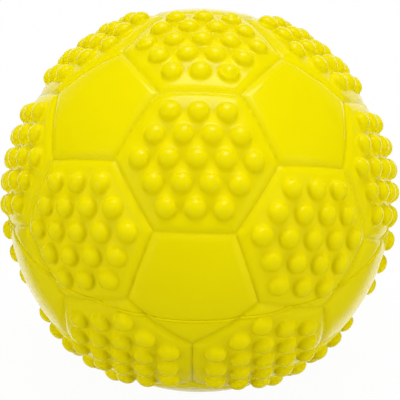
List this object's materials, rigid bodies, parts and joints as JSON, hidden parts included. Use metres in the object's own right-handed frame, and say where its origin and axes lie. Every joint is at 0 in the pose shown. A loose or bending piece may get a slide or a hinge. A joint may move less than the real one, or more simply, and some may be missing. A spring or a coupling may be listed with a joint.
{
  "type": "squeaky dog ball",
  "caption": "Hollow rubber dog ball with smooth pentagon and studded hexagon panels, a bonded middle seam and a reed squeaker that sounds when the ball is squeezed.",
  "frame": {"origin": "centre of the ball, on the plane of the seam between the two halves", "axes": "+Z along the mould's axis, up through the middle of a hexagon panel, with the squeaker at the lower pole; -Y towards the side that the picture shows"},
  "size_m": [0.0696, 0.068, 0.069],
  "materials": {
    "yellow_rubber": "satin moulded rubber",
    "seam_rubber": "cured seam rubber",
    "squeaker_plastic": "moulded, satin",
    "core_plastic": "moulded, matte",
    "reed_brass": "rolled strip"
  },
  "bodies": {
    "lower_half": {"lower_half_shell": "yellow_rubber", "seam_bond": "seam_rubber", "squeaker_body": "squeaker_plastic", "reed_holder": "core_plastic", "reed_clamp": "core_plastic", "squeaker_cap": "squeaker_plastic"},
    "upper_half": {"upper_half_shell": "yellow_rubber"},
    "reed_tongue": {"reed": "reed_brass"}
  },
  "joints": [
    {"name": "squeeze", "type": "slide", "parent": "lower_half", "child": "upper_half", "axis": [0, 0, -1], "range_m": [0, 0.016], "stiffness_N_per_m": 3000, "deforming": ["upper_half_shell"]},
    {"name": "reed_flex", "type": "hinge", "parent": "lower_half", "child": "reed_tongue", "pos_m": [0, 0, -0.02315], "axis": [1, 0, 0], "range_deg": [-3, 3], "stiffness_Nm_per_rad": 0.08}
  ]
}
